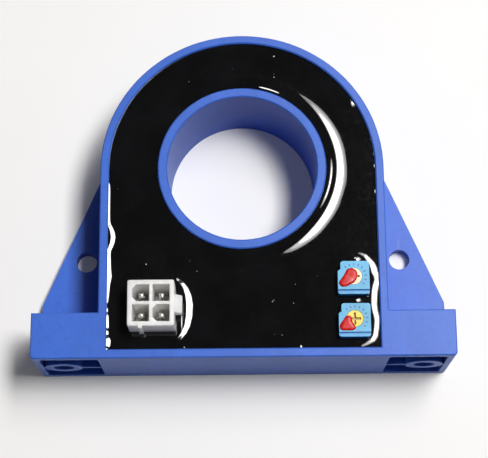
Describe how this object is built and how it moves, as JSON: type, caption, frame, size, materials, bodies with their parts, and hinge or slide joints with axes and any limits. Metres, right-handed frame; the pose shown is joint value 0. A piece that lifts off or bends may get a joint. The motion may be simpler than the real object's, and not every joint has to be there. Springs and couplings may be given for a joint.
{
  "type": "hall effect current sensor",
  "caption": "Potted current sensor with a round opening for the conductor, screw feet and wings, a plug header and two trimmers.",
  "frame": {"origin": "axis of the round opening, on the back face", "axes": "+Z along the opening, from the closed back to the potted face; +X to the right and +Y from the feet to the arch, seen from the potted face"},
  "size_m": [0.0882, 0.0713, 0.0261],
  "materials": {
    "blue_housing": "satin",
    "black_epoxy": "gloss",
    "core_steel": "brushed",
    "chip_black": "matte",
    "tinned_lead": "satin",
    "green_board": "satin",
    "white_nylon": "satin",
    "can_aluminium": "satin",
    "resistor_black": "matte",
    "capacitor_tan": "matte",
    "trimmer_blue": "satin",
    "trimmer_ceramic": "matte",
    "resistive_track": "matte",
    "rotor_cream": "satin",
    "spring_brass": "satin",
    "red_lacquer": "gloss"
  },
  "bodies": {
    "sensor": {"amplifier_chip": "chip_black", "can_capacitor_1": "can_aluminium", "can_capacitor_2": "can_aluminium", "chip_capacitors": "capacitor_tan", "chip_resistors": "resistor_black", "circuit_board": "green_board", "diode_1": "chip_black", "diode_2": "chip_black", "hall_chip": "chip_black", "hall_chip_leads": "tinned_lead", "header_pin_1": "tinned_lead", "header_pin_2": "tinned_lead", "header_pin_3": "tinned_lead", "header_pin_4": "tinned_lead", "header_shell": "white_nylon", "housing": "blue_housing", "magnetic_core": "core_steel", "potting_compound": "black_epoxy", "span_trimmer_base": "trimmer_ceramic", "span_trimmer_case": "trimmer_blue", "span_trimmer_case_lacquer": "red_lacquer", "span_trimmer_pins": "tinned_lead", "span_trimmer_track": "resistive_track", "voltage_regulator": "chip_black", "zero_trimmer_base": "trimmer_ceramic", "zero_trimmer_case": "trimmer_blue", "zero_trimmer_case_lacquer": "red_lacquer", "zero_trimmer_pins": "tinned_lead", "zero_trimmer_track": "resistive_track"},
    "zero_rotor": {"zero_trimmer_rotor": "rotor_cream", "zero_trimmer_wiper": "spring_brass", "zero_trimmer_rotor_lacquer": "red_lacquer"},
    "span_rotor": {"span_trimmer_rotor": "rotor_cream", "span_trimmer_wiper": "spring_brass", "span_trimmer_rotor_lacquer": "red_lacquer"}
  },
  "joints": [
    {"name": "zero_adjust", "type": "hinge", "parent": "sensor", "child": "zero_rotor", "pos_m": [0.023, -0.0245, 0.0218], "axis": [0, 0, 1], "range_deg": [-130, 130]},
    {"name": "span_adjust", "type": "hinge", "parent": "sensor", "child": "span_rotor", "pos_m": [0.023, -0.0335, 0.0218], "axis": [0, 0, 1], "range_deg": [-130, 130]}
  ]
}
